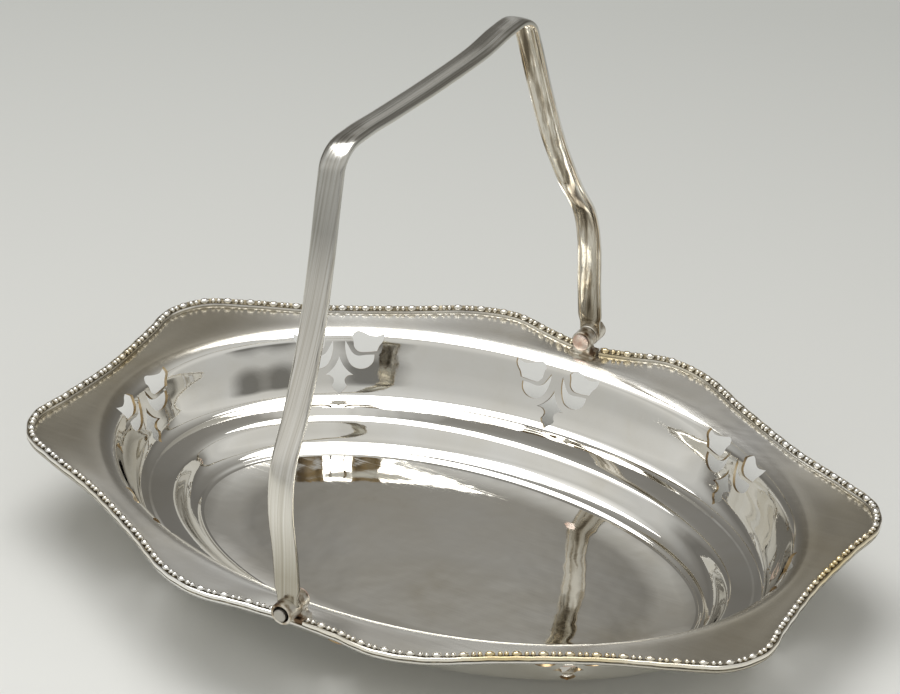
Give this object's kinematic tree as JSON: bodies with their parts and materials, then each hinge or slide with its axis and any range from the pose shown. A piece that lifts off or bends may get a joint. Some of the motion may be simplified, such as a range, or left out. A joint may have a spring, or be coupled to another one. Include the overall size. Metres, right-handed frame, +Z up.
{
  "type": "swing-handled dish",
  "caption": "Oval silver-plated dish with a wavy beaded rim, a pierced sloping wall, a stepped flat base and a strap handle that swings over it on hinges.",
  "frame": {"origin": "middle of the flat underside of the base, on the table", "axes": "+X towards a narrow end, +Y along the hinge line towards the back hinge, +Z up"},
  "size_m": [0.3018, 0.235, 0.1955],
  "materials": {
    "silver_plate": "polished silver plate",
    "border_wire": "silver plate worn warm on the high spots",
    "tarnished_lug": "tarnished silver plate on solder",
    "hinge_pin": "bare copper worn bright"
  },
  "bodies": {
    "tray": {"dish": "silver_plate", "border_right": "border_wire", "border_left": "border_wire", "hinge_lug_front": "tarnished_lug", "hinge_lug_back": "tarnished_lug", "hinge_pin_front": "hinge_pin", "hinge_pin_back": "hinge_pin"},
    "handle": {"handle_strap": "silver_plate", "handle_barrel_front": "silver_plate", "handle_barrel_back": "silver_plate"}
  },
  "joints": [
    {"name": "handle_swing", "type": "hinge", "parent": "tray", "child": "handle", "pos_m": [0, 0, 0.0417], "axis": [0, 1, 0], "range_deg": [-73.9, 82.1]}
  ]
}
